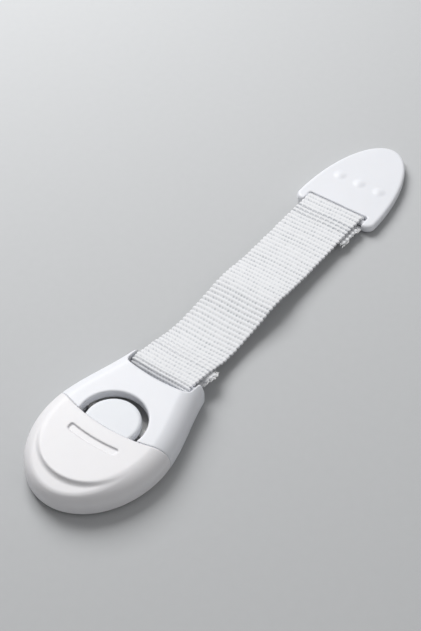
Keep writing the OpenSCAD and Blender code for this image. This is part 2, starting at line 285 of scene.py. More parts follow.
# Cut ends: yarns that stand out of them, and loose loops along the folds behind them
YARN_ENDS = 34
YARN_END_R = 0.16
YARN_JITTER = 0.3
YARN_LENGTHS = (0.6, 1.5)
YARN_BENDS = (-0.6, 0.4)
YARN_LIFTS = (-0.35, 0.25)
YARN_CURL = 0.3  # lift for each mm of bend
YARN_ROOT = 0.4  # hidden in the webbing, as a share of what stands out
YARN_POINTS = 6
YARN_SIDES = 5
EDGE_LOOPS = 18
HEAD_LOOP_SPAN = 9.5
TAIL_LOOP_SPAN = 12.0
LOOP_SIZES = (0.25, 0.5)
LOOP_LIFT = 0.4
LOOP_ARCH = 0.3
LOOP_REACH = 1.6  # how far a loop stands out, for its size
LOOP_POINTS = 8
HEAD_FRINGE_SEED = 5
TAIL_FRINGE_SEED = 8

# Threads as tubes. None of them runs along the direction named last.
TUBE_SIDES = 6
TUBE_TAPER = 0.75
TUBE_TAPER_POWER = 6
OFF_TUBES = np.array([0.3, 0.2, 1.0])

# Materials
NOISE_LOW = 0.3  # most noise lies from here
NOISE_HIGH = 0.7  # to here
CLOUD_TINT = 0.012
SKIN_GLOSS = 0.04
PLASTIC_SPECULAR = 0.32
PLASTIC_SCATTER = 0.06
SCATTER_RADII = (2.0, 1.8, 1.6)
THREAD_SCALE = (0.9, 5.0, 1)  # threads in a mm, along and across the strap
WEBBING_SPECULAR = 0.5
SHEEN = 0.4
SHEEN_ROUGHNESS = 0.5

# Shares of a colour: on dull threads, in the painted shade between threads, in the foam's cells and on the liner's
# fibres
DULL_THREADS = (0.935, 0.95, 0.985)
PAINTED_SHADE_THREADS = (0.3, 0.32, 0.36)
DULL_FOAM = 0.86
DULL_PAPER = 0.95

# Stage
FLOOR_HALF = 4000.0
FLOOR_COLOUR = (0.56, 0.57, 0.58)
FLOOR_GRAIN = 0.01
FADE_START = 330.0  # from the middle of the floor
FADE_END = 900.0
WORLD_LIGHT = 0.22
WORLD_SEEN = 0.62

# Camera at the photograph's place
AZIMUTH = math.radians(-53.97)
ELEVATION = math.radians(46.49)
DISTANCE = 471.5
AIM = Vector((65.09, 7.60, 0.0))
LENS = 74.17
SENSOR_W = 36.0


# Fields: functions of points that are negative inside a solid, in mm
def round_max(a, b, r):
    """Where both fields are solid, with their outer edge rounded by r."""
    return np.minimum(np.maximum(a, b), -r) + np.hypot(np.maximum(a + r, 0), np.maximum(b + r, 0))


def round_min(a, b, r):
    """Where either field is solid, with a fillet of radius r between them."""
    return np.maximum(np.minimum(a, b), r) - np.hypot(np.maximum(r - a, 0), np.maximum(r - b, 0))


def cut(a, b, r):
    """The first field without the second, with the edges rounded by r."""
    return round_max(a, -b, r)


def mirrored(p):
    """Points with both halves of the lock laid on the side of +Y."""
    return p * [1, 0, 1] + np.abs(p) * [0, 1, 0]


def layer_field(p, low, high):
    """A level layer between two heights."""
    return np.abs(p[:, 2] - (low + high) / 2) - (high - low) / 2


def box_field(p, low, high, r):
    """A box with edges rounded by r."""
    low, high = np.array(low), np.array(high)
    q = np.abs(p - (low + high) / 2) - (high - low) / 2 + r
    return np.linalg.norm(np.maximum(q, 0), axis=1) + np.minimum(q.max(1), 0) - r


def upright_field(p, x, y, r, low, high, edge):
    """An upright cylinder."""
    side = np.hypot(p[:, 0] - x, p[:, 1] - y) - r
    return round_max(side, layer_field(p, low, high), edge)


def cross_field(p, place, r, half):
    """A cylinder across the lock, with its ends rounded by a quarter of its radius."""
    side = np.hypot(p[:, 0] - place[0], p[:, 2] - place[2]) - r
    return round_max(side, np.abs(p[:, 1]) - half, r / 4)


def ellipse_depth(x, y, a, b):
    """How far inside an ellipse a point lies."""
    k = np.hypot(x / a, y / b)
    slope = np.maximum(np.hypot(x / a ** 2, y / b ** 2), 1e-6)
    return k * (1 - k) / slope


def head_depth(p):
    """How far inside the head's outline a point lies, in plan."""
    x, y = p[:, 0], np.abs(p[:, 1])
    length = END_X - WIDEST_X
    t = np.clip((x - WIDEST_X) / length, 0, FLANK_REACH)
    narrowing = HALF_W - END_HALF_W
    flank = HALF_W - narrowing * ((3 - FLANK_SLOPE) * t ** 2 + (FLANK_SLOPE - 2) * t ** 3)
    slope = narrowing / length * (2 * (3 - FLANK_SLOPE) * t + 3 * (FLANK_SLOPE - 2) * t ** 2)
    side = (flank - y) / np.hypot(1, slope)
    return np.where(x > WIDEST_X, side, ellipse_depth(x - WIDEST_X, y, FRONT_LEN, HALF_W))


def head_field(p):
    """Outer form of the whole head."""
    side, z = -head_depth(p), p[:, 2]
    inward = np.maximum(side + TOP_IN, 0) / TOP_IN
    upward = np.maximum(z - TOP_Z + TOP_DOWN, 0) / TOP_DOWN
    top = (np.hypot(inward, upward) - 1) * (TOP_IN + TOP_DOWN) / 2
    low = round_max(side, SKIRT_Z - z, LOW_R)
    return round_max(np.maximum(top, low), p[:, 0] - END_X, END_EDGE_R)


def bow_field(p, x):
    """Distance in front of a line across the lock that bows forward to x, negative behind it."""
    return np.hypot(p[:, 0] - x - SEAM_R, p[:, 1]) - SEAM_R


def ledge_field(p):
    """What is taken off round the cap's raised face to leave the crescent ledge."""
    drop = (p[:, 2] - TOP_Z) * math.cos(LEDGE_SLOPE) - (p[:, 0] - LEDGE_START_X) * math.sin(LEDGE_SLOPE)
    outside = np.hypot(p[:, 0] - LEDGE_X, p[:, 1]) - LEDGE_R
    return round_max(-drop, -outside, LEDGE_FILLET)


def grip_field(p):
    """The bowed grip groove."""
    off = np.abs(bow_field(p, GRIP_X)) - GRIP_W / 2
    outline = round_max(off, np.abs(p[:, 1]) - GRIP_LEN / 2, GRIP_CORNER_R)
    return round_max(outline, TOP_Z - GRIP_DEPTH - p[:, 2], GRIP_FLOOR_R)


def cap_field(p):
    """Front cap: a shell in front of the seam, with two posts that are pinned into the base plate."""
    body = round_max(head_field(p), SEAM_GAP / 2 - bow_field(p, SEAM_X), SEAM_EDGE_R)
    body = cut(body, ledge_field(p), LEDGE_EDGE_R)
    body = cut(body, grip_field(p), GRIP_EDGE_R)
    inside = np.maximum(WALL - head_depth(p), p[:, 2] - ROOF_Z)
    body = cut(body, inside, INSIDE_EDGE_R)
    q = mirrored(p)
    post = upright_field(q, POST_X, POST_Y, POST_R, FLOOR_Z, ROOF_Z + OVERLAP, POST_EDGE_R)
    pin = upright_field(q, POST_X, POST_Y, PIN_R, cap_low[2], FLOOR_Z + OVERLAP, POST_EDGE_R)
    return np.minimum(body, np.minimum(post, pin))


def slot_field(p):
    """The shackle's slot for the webbing, open at the end. Its front edge is bowed like the seam."""
    half = SLOT_HALF - SLOT_CORNER_R
    bow = SEAM_R - math.sqrt(SEAM_R ** 2 - half ** 2)
    return round_max(bow_field(p, SLOT_X - bow), np.abs(p[:, 1]) - SLOT_HALF, SLOT_CORNER_R)


def leg_field(p):
    """The shackle's two legs, which have sloped tips and hang from the roof on risers."""
    q = mirrored(p)
    leg = box_field(q, (shackle_low[0], LEG_IN_Y, LEG_Z), (LEG_END_X, LEG_OUT_Y, LEG_TOP_Z), LEG_EDGE_R)
    lead = (shackle_low[0] + LEG_Z + LEG_LEAD - p[:, 0] - p[:, 2]) / math.sqrt(2)
    riser = box_field(q, (RISER_X, LEG_IN_Y, LEG_TOP_Z - RISER_SINK),
                      (LEG_END_X, LEG_OUT_Y, ROOF_Z + OVERLAP), LEG_EDGE_R)
    return np.minimum(round_max(leg, lead, LEG_EDGE_R), riser)


def shackle_field(p):
    """Shackle: a shell behind the seam with the button's hole, the legs, the slot and the webbing's bar."""
    x, z = p[:, 0], p[:, 2]
    body = round_max(head_field(p), bow_field(p, SEAM_X) + SEAM_GAP / 2, SEAM_EDGE_R)
    from_button = np.hypot(x, p[:, 1])
    collar = np.maximum(from_button - HOLE_R - COLLAR_T, COLLAR_Z - z)
    pocket = np.maximum(np.maximum(WALL - head_depth(p), z - ROOF_Z), x - POCKET_END_X)
    body = cut(body, np.maximum(pocket, -collar), INSIDE_EDGE_R)
    body = cut(body, from_button - HOLE_R, HOLE_EDGE_R)
    body = cut(body, slot_field(p), SLOT_EDGE_R)
    body = np.minimum(body, leg_field(p))
    return np.minimum(body, cross_field(p, head_bar, HEAD_BAR_R, SLOT_HALF + OVERLAP))


def button_field(p):
    """Button: a round pad on a lever that turns on two trunnions under the cap."""
    top = button_high[2]
    pad = upright_field(p, 0, 0, BUTTON_R, top - PAD_T, top, BUTTON_EDGE_R)
    pad = round_max(pad, bow_field(p, SEAM_X) + SEAM_GAP, SEAM_EDGE_R)
    arm = box_field(p, (pivot[0] - PIVOT_R, -ARM_HALF_W, ARM_Z), (0, ARM_HALF_W, ARM_Z + ARM_T), ARM_EDGE_R)
    pins = cross_field(p, pivot, PIVOT_R, button_high[1])
    return round_min(round_min(pad, arm, ARM_FILLET), pins, PIVOT_FILLET)


def base_field(p):
    """Base plate: the head's floor, with two bearings that are open at the top."""
    x, z = p[:, 0], p[:, 2]
    plan = round_max(BASE_IN - head_depth(p), x - base_high[0], BASE_CORNER_R)
    body = round_max(plan, layer_field(p, base_low[2], FLOOR_Z), BASE_EDGE_R)
    bearing = box_field(mirrored(p), (pivot[0] - BEARING_HALF_L, BEARING_Y, FLOOR_Z - OVERLAP),
                        (pivot[0] + BEARING_HALF_L, BEARING_Y + BEARING_T, base_high[2]), BEARING_EDGE_R)
    body = round_min(body, bearing, BEARING_FILLET)
    bore = np.hypot(x - pivot[0], z - pivot[2]) - BORE_R
    mouth = np.maximum(np.abs(x - pivot[0]) - MOUTH_HALF_W, pivot[2] - z)
    return cut(body, np.minimum(bore, mouth), BORE_EDGE_R)


def tail_outline(p):
    """Distance outside the tail plate's outline, in plan."""
    x, y = p[:, 0] - TAIL_WIDE_X, np.abs(p[:, 1])
    half = tail_high[1]
    side = np.where(x > 0, -ellipse_depth(x, y, tail_high[0] - TAIL_WIDE_X, half), y - half)
    return round_max(side, tail_low[0] - p[:, 0], TAIL_CORNER_R)


def tail_field(p):
    """Tail plate with its slot, its bar and three domes."""
    plan, z = tail_outline(p), p[:, 2]
    body = np.maximum(round_max(plan, z - TAIL_TOP_Z, TAIL_EDGE_R),
                      round_max(plan, tail_low[2] - z, TAIL_LOW_R))
    slot = round_max(p[:, 0] - TAIL_SLOT_X, np.abs(p[:, 1]) - SLOT_HALF, TAIL_SLOT_CORNER_R)
    body = cut(body, slot, TAIL_SLOT_EDGE_R)
    sphere_r = (DOME_H ** 2 + DOME_D ** 2 / 4) / (2 * DOME_H)
    for side in (-1, 0, 1):
        centre = np.array([DOME_X, side * DOME_PITCH, TAIL_TOP_Z + DOME_H - sphere_r])
        body = round_min(body, np.linalg.norm(p - centre, axis=1) - sphere_r, DOME_FILLET)
    return np.minimum(body, cross_field(p, tail_bar, TAIL_BAR_R, SLOT_HALF + OVERLAP))


def head_foam_field(p):
    """Foam pad under the head, set in from its outline."""
    low, high = node_box("head_foam")
    inset = low[0] - cap_low[0]
    plan = round_max(inset - head_depth(p), p[:, 0] - high[0], FOAM_CORNER_R)
    return round_max(plan, layer_field(p, low[2], high[2]), FOAM_EDGE_R)


def tail_foam_field(p):
    """Foam pad under the tail plate, set in from its outline."""
    low, high = node_box("tail_foam")
    inset = tail_high[0] - high[0]
    plan = round_max(tail_outline(p) + inset, low[0] - p[:, 0], FOAM_CORNER_R)
    return round_max(plan, layer_field(p, low[2], high[2]), FOAM_EDGE_R)


# Meshes
def mesh_piece(name, points, faces):
    """New smooth-shaded mesh object from points in mm."""
    mesh = bpy.data.meshes.new(name)
    mesh.from_pydata((np.asarray(points) * MM).tolist(), [], faces)
    mesh.polygons.foreach_set("use_smooth", [True] * len(mesh.polygons))
    mesh.update()
    piece = bpy.data.objects.new(name, mesh)
    bpy.context.scene.collection.objects.link(piece)
    return piece


def gradient(field, points, reach=0.02):
    """Slope of a field at some points, by central differences."""
    slopes = []
    for axis in range(3):
        shift = np.zeros(3)
        shift[axis] = reach
        slopes.append((field(points + shift) - field(points - shift)) / (2 * reach))
    return np.stack(slopes, 1)


def field_piece(name, field, low, high, step):
    """New mesh object of the surface where a field is zero, with a vertex in each grid cell on it."""
    margin = GRID_MARGIN * step
    axes = [np.arange(a - margin, b + margin + step, step) for a, b in zip(low, high)]
    grid = np.stack(np.meshgrid(*axes, indexing="ij"), -1)
    value = field(grid.reshape(-1, 3)).reshape(grid.shape[:3])
    solid = value < 0
    total = np.zeros([n - 1 for n in solid.shape] + [3])
    count = np.zeros(total.shape[:3])
    edges = []
    for axis in range(3):
        near = [slice(None)] * 3
        far = [slice(None)] * 3
        near[axis], far[axis] = slice(None, -1), slice(1, None)
        at = np.argwhere(solid[tuple(near)] != solid[tuple(far)])
        a = value[tuple(near)][tuple(at.T)]
        b = value[tuple(far)][tuple(at.T)]
        crossing = grid[tuple(at.T)].copy()
        crossing[:, axis] += a / (a - b) * step
        around = []
        for u, v in ((0, 0), (-1, 0), (-1, -1), (0, -1)):
            cell = at.copy()
            cell[:, (axis + 1) % 3] += u
            cell[:, (axis + 2) % 3] += v
            np.add.at(total, tuple(cell.T), crossing)
            np.add.at(count, tuple(cell.T), 1)
            around.append(cell)
        edges.append((around, solid[tuple(at.T)]))
    crossed = count > 0
    index = np.full(count.shape, -1)
    index[crossed] = np.arange(crossed.sum())
    points = total[crossed] / count[crossed][:, None]
    quads = []
    for around, outward in edges:
        quad = np.stack([index[tuple(cell.T)] for cell in around], 1)
        quads.append(np.where(outward[:, None], quad, quad[:, ::-1]))
    for _ in range(SETTLE_ROUNDS):
        slope = gradient(field, points)
        steepness = np.maximum((slope ** 2).sum(1), LEAST_STEEPNESS)
        move = slope * (field(points) / steepness)[:, None]
        points -= np.clip(move, -step / 2, step / 2)
    return mesh_piece(name, points, np.concatenate(quads).tolist())


# Materials
def new_material(name, colour, roughness):
    """Material with a plain shader, its node tree and the shader node."""
    material = bpy.data.materials.new(name)
    material.use_nodes = True
    nodes = material.node_tree.nodes
    shader = nodes["Principled BSDF"]
    shader.inputs["Base Color"].default_value = (*colour, 1)
    shader.inputs["Roughness"].default_value = roughness
    return material, material.node_tree, shader


def object_place(tree):
    """Places on the object, for a texture."""
    return tree.nodes.new("ShaderNodeTexCoord").outputs["Object"]


def add_noise(tree, vector, scale, detail):
    """A soft noise value."""
    noise = tree.nodes.new("ShaderNodeTexNoise")
    noise.inputs["Scale"].default_value = scale
    noise.inputs["Detail"].default_value = detail
    tree.links.new(vector, noise.inputs["Vector"])
    return noise.outputs["Fac"]


def add_range(tree, value, low, high):
    """A noise value spread from low to high."""
    spread = tree.nodes.new("ShaderNodeMapRange")
    spread.inputs["From Min"].default_value = NOISE_LOW
    spread.inputs["From Max"].default_value = NOISE_HIGH
    spread.inputs["To Min"].default_value = low
    spread.inputs["To Max"].default_value = high
    tree.links.new(value, spread.inputs["Value"])
    return spread.outputs["Result"]


def add_tint(tree, value, dark, light):
    """A colour between two, by a noise value."""
    mix = tree.nodes.new("ShaderNodeMix")
    mix.data_type = "RGBA"
    mix.inputs["A"].default_value = (*dark, 1)
    mix.inputs["B"].default_value = (*light, 1)
    tree.links.new(value, mix.inputs["Factor"])
    return mix.outputs["Result"]


def add_bump(tree, shader, height, strength, distance):
    """Fine relief, up to a distance in mm."""
    bump = tree.nodes.new("ShaderNodeBump")
    bump.inputs["Strength"].default_value = strength
    bump.inputs["Distance"].default_value = distance * MM
    tree.links.new(height, bump.inputs["Height"])
    tree.links.new(bump.outputs["Normal"], shader.inputs["Normal"])


slot_colour = {m["slot"]: m["base_color"] for m in frame["record"]["materials"]}


def plastic(slot, roughness):
    """Moulded plastic: slight clouds in its colour and gloss, and a fine skin."""
    colour = slot_colour[slot]
    material, tree, shader = new_material(slot, colour, roughness)
    place = object_place(tree)
    clouds = add_noise(tree, place, scale=60, detail=3)
    paler = [min(1, c * (1 + CLOUD_TINT)) for c in colour]
    duller = [c * (1 - CLOUD_TINT) for c in colour]
    tint = add_tint(tree, add_range(tree, clouds, 0, 1), duller, paler)
    tree.links.new(tint, shader.inputs["Base Color"])
    skin = add_noise(tree, place, scale=1400, detail=2)
    gloss = add_range(tree, skin, roughness - SKIN_GLOSS, roughness + SKIN_GLOSS)
    tree.links.new(gloss, shader.inputs["Roughness"])
    add_bump(tree, shader, skin, strength=0.12, distance=0.03)
    shader.inputs["Specular IOR Level"].default_value = PLASTIC_SPECULAR
    shader.inputs["Subsurface Weight"].default_value = PLASTIC_SCATTER
    shader.inputs["Subsurface Radius"].default_value = [r * MM for r in SCATTER_RADII]
    return material


def webbing_cloth(slot):
    """Woven white webbing: fine threads along the strap, uneven in tone, and darker down between them by painted
    shade.
    """
    colour = slot_colour[slot]
    material, tree, shader = new_material(slot, colour, roughness=0.6)
    weave = tree.nodes.new("ShaderNodeUVMap")
    weave.uv_map = "weave"
    stretch = tree.nodes.new("ShaderNodeMapping")
    stretch.inputs["Scale"].default_value = THREAD_SCALE
    tree.links.new(weave.outputs["UV"], stretch.inputs["Vector"])
    threads = add_noise(tree, stretch.outputs["Vector"], scale=1, detail=3)
    duller = [c * share for c, share in zip(colour, DULL_THREADS)]
    painted_shade_colour = [c * share for c, share in zip(colour, PAINTED_SHADE_THREADS)]
    tint = add_tint(tree, add_range(tree, threads, 0, 1), duller, colour)
    # Painted shade: a layer on the webbing holds the shade painted down between its threads, and darkens the
    # colour towards the shaded threads' colour
    depth = tree.nodes.new("ShaderNodeAttribute")
    depth.attribute_name = "painted_shade"
    shaded = tree.nodes.new("ShaderNodeMix")
    shaded.data_type = "RGBA"
    shaded.inputs["B"].default_value = (*painted_shade_colour, 1)
    tree.links.new(depth.outputs["Fac"], shaded.inputs["Factor"])
    tree.links.new(tint, shaded.inputs["A"])
    tree.links.new(shaded.outputs["Result"], shader.inputs["Base Color"])
    add_bump(tree, shader, threads, strength=0.5, distance=0.12)
    shader.inputs["Sheen Weight"].default_value = SHEEN
    shader.inputs["Sheen Roughness"].default_value = SHEEN_ROUGHNESS
    shader.inputs["Specular IOR Level"].default_value = WEBBING_SPECULAR
    return material


def foam_skin(slot):
    """Closed-cell foam: small bubbles."""
    colour = slot_colour[slot]
    material, tree, shader = new_material(slot, colour, roughness=0.9)
    cells = tree.nodes.new("ShaderNodeTexVoronoi")
    cells.inputs["Scale"].default_value = 2200
    tree.links.new(object_place(tree), cells.inputs["Vector"])
    tint = add_tint(tree, cells.outputs["Distance"], [c * DULL_FOAM for c in colour], colour)
    tree.links.new(tint, shader.inputs["Base Color"])
    add_bump(tree, shader, cells.outputs["Distance"], strength=0.5, distance=0.1)
    return material


def liner_paper(slot):
    """Waxed release paper: faint fibres."""
    colour = slot_colour[slot]
    material, tree, shader = new_material(slot, colour, roughness=0.45)
    fibres = add_noise(tree, object_place(tree), scale=500, detail=4)
    tint = add_tint(tree, add_range(tree, fibres, 0, 1), [c * DULL_PAPER for c in colour], colour)
    tree.links.new(tint, shader.inputs["Base Color"])
    add_bump(tree, shader, fibres, strength=0.15, distance=0.03)
    return material


cap_plastic = plastic("cap_plastic", roughness=0.36)
shackle_plastic = plastic("shackle_plastic", roughness=0.36)
button_plastic = plastic("button_plastic", roughness=0.4)
base_plastic = plastic("base_plastic", roughness=0.5)
catch_plastic = plastic("catch_plastic", roughness=0.5)
webbing_material = webbing_cloth("webbing")
thread_material = plastic("thread", roughness=0.7)
foam_material = foam_skin("foam")
liner_material = liner_paper("liner")


def finish_piece(piece, material, body, slot, *nodes):
    """Gives a piece its material and its body, and lets it stand for CAD nodes."""
    piece.data.materials.append(material)
    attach(piece, body)
    if nodes:
        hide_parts(*nodes)


# Mouldings
cap = field_piece("cap_shell", cap_field, cap_low, cap_high, CAP_STEP)
finish_piece(cap, cap_plastic, "base", "cap_plastic", "front_cap")
shackle = field_piece("shackle_shell", shackle_field, shackle_low, shackle_high, SHACKLE_STEP)
finish_piece(shackle, shackle_plastic, "shackle", "shackle_plastic", "shackle")
button = field_piece("button_lever", button_field, button_low, button_high, BUTTON_STEP)
finish_piece(button, button_plastic, "button", "button_plastic", "button")
base = field_piece("base_floor", base_field, base_low, base_high, BASE_STEP)
finish_piece(base, base_plastic, "base", "base_plastic", "base_plate")
tail = field_piece("tail_leaf", tail_field, tail_low, tail_high, TAIL_STEP)
finish_piece(tail, shackle_plastic, "tail", "shackle_plastic", "tail_plate")

# Adhesive pads and their liners
for name, field, body in (("head_foam", head_foam_field, "base"), ("tail_foam", tail_foam_field, "tail")):
    pad = field_piece(name + "_pad", field, *node_box(name), FOAM_STEP)
    finish_piece(pad, foam_material, body, "foam", name)


def dress_node(name, material):
    """Gives a CAD node that stays in view its material."""
    piece = frame["nodes"][name]
    piece.data.materials.clear()
    piece.data.materials.append(material)


dress_node("head_liner", liner_material)
dress_node("tail_liner", liner_material)

# Catch spring, which the pressed button bends down towards the floor of the head
spring_node = frame["nodes"]["catch_spring"]
spring_mesh = spring_node.data.copy()
spring_mesh.transform(spring_node.matrix_world)
spring_mesh.materials.clear()
spring = bpy.data.objects.new("catch_leaf", spring_mesh)
bpy.context.scene.collection.objects.link(spring)
finish_piece(spring, catch_plastic, "base", "catch_plastic", "catch_spring")
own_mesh(spring)


# Webbing
def walk(place, heading, moves, spacing=0.05):
    """Points of a route in x and z. A move is a length, or a radius and the angle turned to the left."""
    points = [np.array(place, float)]
    for move in moves:
        length = move if np.isscalar(move) else move[0] * abs(move[1])
        turn = 0 if np.isscalar(move) else move[1]
        count = max(1, round(length / spacing))
        for _ in range(count):
            heading += turn / count / 2
            points.append(points[-1] + length / count * np.array([math.cos(heading), math.sin(heading)]))
            heading += turn / count / 2
    return np.array(points)


def fold_moves(loop_r, side, length):
    """Moves from the top of a bar round it, up to the upper layer and along it to the cut end."""
    layer_gap = loop_r - STRAP_T
    rise = layer_gap + loop_r * math.cos(FOLD_RISE) - FOLD_BEND_R * (1 - math.cos(FOLD_RISE))
    slope = rise / math.sin(FOLD_RISE)
    reach = (loop_r + FOLD_BEND_R) * math.sin(FOLD_RISE) + slope * math.cos(FOLD_RISE)
    return [(loop_r, side * (math.pi + FOLD_RISE)), slope, (FOLD_BEND_R, -side * FOLD_RISE), length - reach]


def webbing_route():
    """Middle line of the webbing from the head's cut end to the tail's, and where the run between lies."""
    start = head_bar[[0, 2]] + HEAD_LOOP_R * np.array([math.sin(DIP), math.cos(DIP)])
    end_x, level = tail_bar[0], tail_bar[2] + TAIL_LOOP_R
    slope = (start[1] - level - DIP_BEND_R * (1 - math.cos(DIP))) / math.sin(DIP)
    run = end_x - start[0] - slope * math.cos(DIP) - DIP_BEND_R * math.sin(DIP)
    head_fold = walk(start, math.pi - DIP, fold_moves(HEAD_LOOP_R, 1, HEAD_FOLD_LEN))
    main = walk(start, -DIP, [slope, (DIP_BEND_R, DIP), run])
    tail_fold = walk(main[-1], 0, fold_moves(TAIL_LOOP_R, -1, TAIL_FOLD_LEN))
    main[:, 1] += CREST_H * np.exp(-((main[:, 0] - CREST_X) / CREST_L) ** 2)
    main[:, 1] -= TROUGH_H * np.exp(-((main[:, 0] - TROUGH_X) / TROUGH_L) ** 2)
    route = np.concatenate([head_fold[:0:-1], main, tail_fold[1:]])
    travelled = np.concatenate([[0], np.cumsum(np.linalg.norm(np.diff(route, axis=0), axis=1))])
    return route, travelled, travelled[len(head_fold) - 1], travelled[len(head_fold) + len(main) - 2]


route, travelled, run_start, run_end = webbing_route()
webbing_length = travelled[-1]


def route_place(s):
    """Places on the webbing's middle line, in x and z."""
    return np.stack([np.interp(s, travelled, route[:, i]) for i in (0, 1)], 1)


def route_frame(s):
    """Places on the webbing's middle line, and the direction off its face, in x and z."""
    along = route_place(s + ROUTE_REACH) - route_place(s - ROUTE_REACH)
    along = along / np.linalg.norm(along, axis=1)[:, None]
    return route_place(s), np.stack([-along[:, 1], along[:, 0]], 1)


def strap_middle(s):
    """Where the webbing's middle lies across the lock. Its folded ends drift to one side."""
    head_share = (run_start - s - HEAD_DRIFT_START) / HEAD_DRIFT_LEN
    tail_share = (s - run_end - TAIL_DRIFT_START) / TAIL_DRIFT_LEN
    share = np.clip(np.maximum(head_share, tail_share), 0, 1)
    return STRAP_SHIFT - FOLD_DRIFT * share ** 2 * (3 - 2 * share)


def rib_row(s):
    """Ribs from the head's cut end up to a place. They lie closer in the roll over the head's bar."""
    return s / RIB_PITCH + ROLL_RIBS * np.clip((s - run_start) / ROLL_LEN + 1, 0, 1)


def edge_teeth(s, seed):
    """How far one edge draws in: deep between two ribs, and a little unevenly at their ends."""
    rib = np.floor(rib_row(s)).astype(int)
    uneven = np.random.default_rng(seed).uniform(0, EDGE_UNEVEN, rib.max() + 1)[rib]
    across = 2 * (rib_row(s) % 1) - 1
    tooth = 1 - np.sqrt(1 - across ** 2)
    return EDGE_TOOTH * tooth + uneven * (1 - tooth)


def stitch_rows():
    """Where the rows of stitches cross the webbing: in valleys between its ribs."""
    first = math.ceil(rib_row(run_start + HEAD_SEWN))
    last = math.floor(rib_row(run_end - TAIL_SEWN))
    return [first + i for i in range(STITCH_ROWS)], [last - i for i in range(STITCH_ROWS)]


def wave(turn):
    """From 1 at a whole turn to 0 at a half one."""
    return 0.5 + 0.5 * np.cos(2 * math.pi * turn)


def webbing_hollows(s, y):
    """Depth of the weave under its ribs' crests, and the painted shade down between the threads."""
    draw = np.random.default_rng(WEAVE_SEED)
    wander = RIB_WANDER * np.sin(WANDER_ACROSS * y[None, :] + WANDER_ALONG * s[:, None])
    row = rib_row(s)[:, None] + wander / RIB_PITCH
    nearest = np.round(row).astype(int)
    off = 2 * np.abs(row - nearest)
    valley = (1 - off) ** VALLEY_POWER
    near = np.exp(-(off / VALLEY_SPREAD) ** 2)
    rows = nearest.max() + 1
    # Every second row of pits is shifted by half a pitch
    shift = 0.5 * (np.arange(rows) % 2) + draw.uniform(-PIT_JITTER, PIT_JITTER, rows)
    turn = y[None, :] / PIT_PITCH + shift[nearest]
    pit_number = np.round(turn).astype(int)
    pit_number -= pit_number.min()
    pit_share = draw.uniform(LEAST_PIT, 1, (rows, pit_number.max() + 1))
    pits = wave(turn) * pit_share[nearest, pit_number]
    # In a sewn row the webbing is drawn down under each stitch and stays fuller between two stitches; the painted
    # shade lies under each stitch too
    head_sewn, tail_sewn = [np.isin(nearest, sewn_rows) for sewn_rows in stitch_rows()]
    sewn = head_sewn | tail_sewn
    under_stitch = np.clip(STITCH_HOLD * np.abs(np.cos(math.pi * y / STITCH_PITCH)), 0, 1)[None, :]
    pits = np.where(sewn, under_stitch, pits)
    valley = np.where(sewn, (BETWEEN_STITCHES + (1 - BETWEEN_STITCHES) * under_stitch) * valley, valley)
    near = np.where(sewn, under_stitch * near, near)
    row_shade = draw.uniform(*ROW_SHADES, rows)[nearest]
    pit_shade = np.select([head_sewn, tail_sewn], [HEAD_SEWN_SHADE, TAIL_SEWN_SHADE], PIT_SHADE)
    in_pit = np.exp(-(off / PIT_SPREAD) ** 2)
    # Painted shade: the colour is darkened in the valleys, the pits and the sewn rows, and between the yarns
    # below, where shade falls
    painted_shade = row_shade * (VALLEY_SHADE * near + pit_shade * pits * in_pit)
    between_yarns = wave(2 * y / PIT_PITCH) ** 2
    on_rib = between_yarns[None, :] * (1 - valley)
    depth = VALLEY_DEPTH * valley + PIT_DEPTH * pits * in_pit + YARN_RELIEF * on_rib
    return depth, np.clip(painted_shade + YARN_SHADE * on_rib, 0, 1)


def ribbon_faces(stations, columns):
    """Faces of a closed ribbon. Its upper points come first, row by row, and then its lower ones."""
    wide = columns + 1
    many = (stations + 1) * wide
    a = (np.arange(stations)[:, None] * wide + np.arange(columns)[None, :]).ravel()
    upper = np.stack([a, a + wide, a + wide + 1, a + 1], 1)
    lower = np.stack([a, a + 1, a + wide + 1, a + wide], 1) + many
    left = np.arange(stations) * wide
    left_side = np.stack([left, left + many, left + many + wide, left + wide], 1)
    right = left + columns
    right_side = np.stack([right, right + wide, right + many + wide, right + many], 1)
    start = np.arange(columns)
    start_cap = np.stack([start, start + 1, start + many + 1, start + many], 1)
    end_cap = start_cap[:, ::-1] + stations * wide
    return np.concatenate([upper, lower, left_side, right_side, start_cap, end_cap]).tolist()


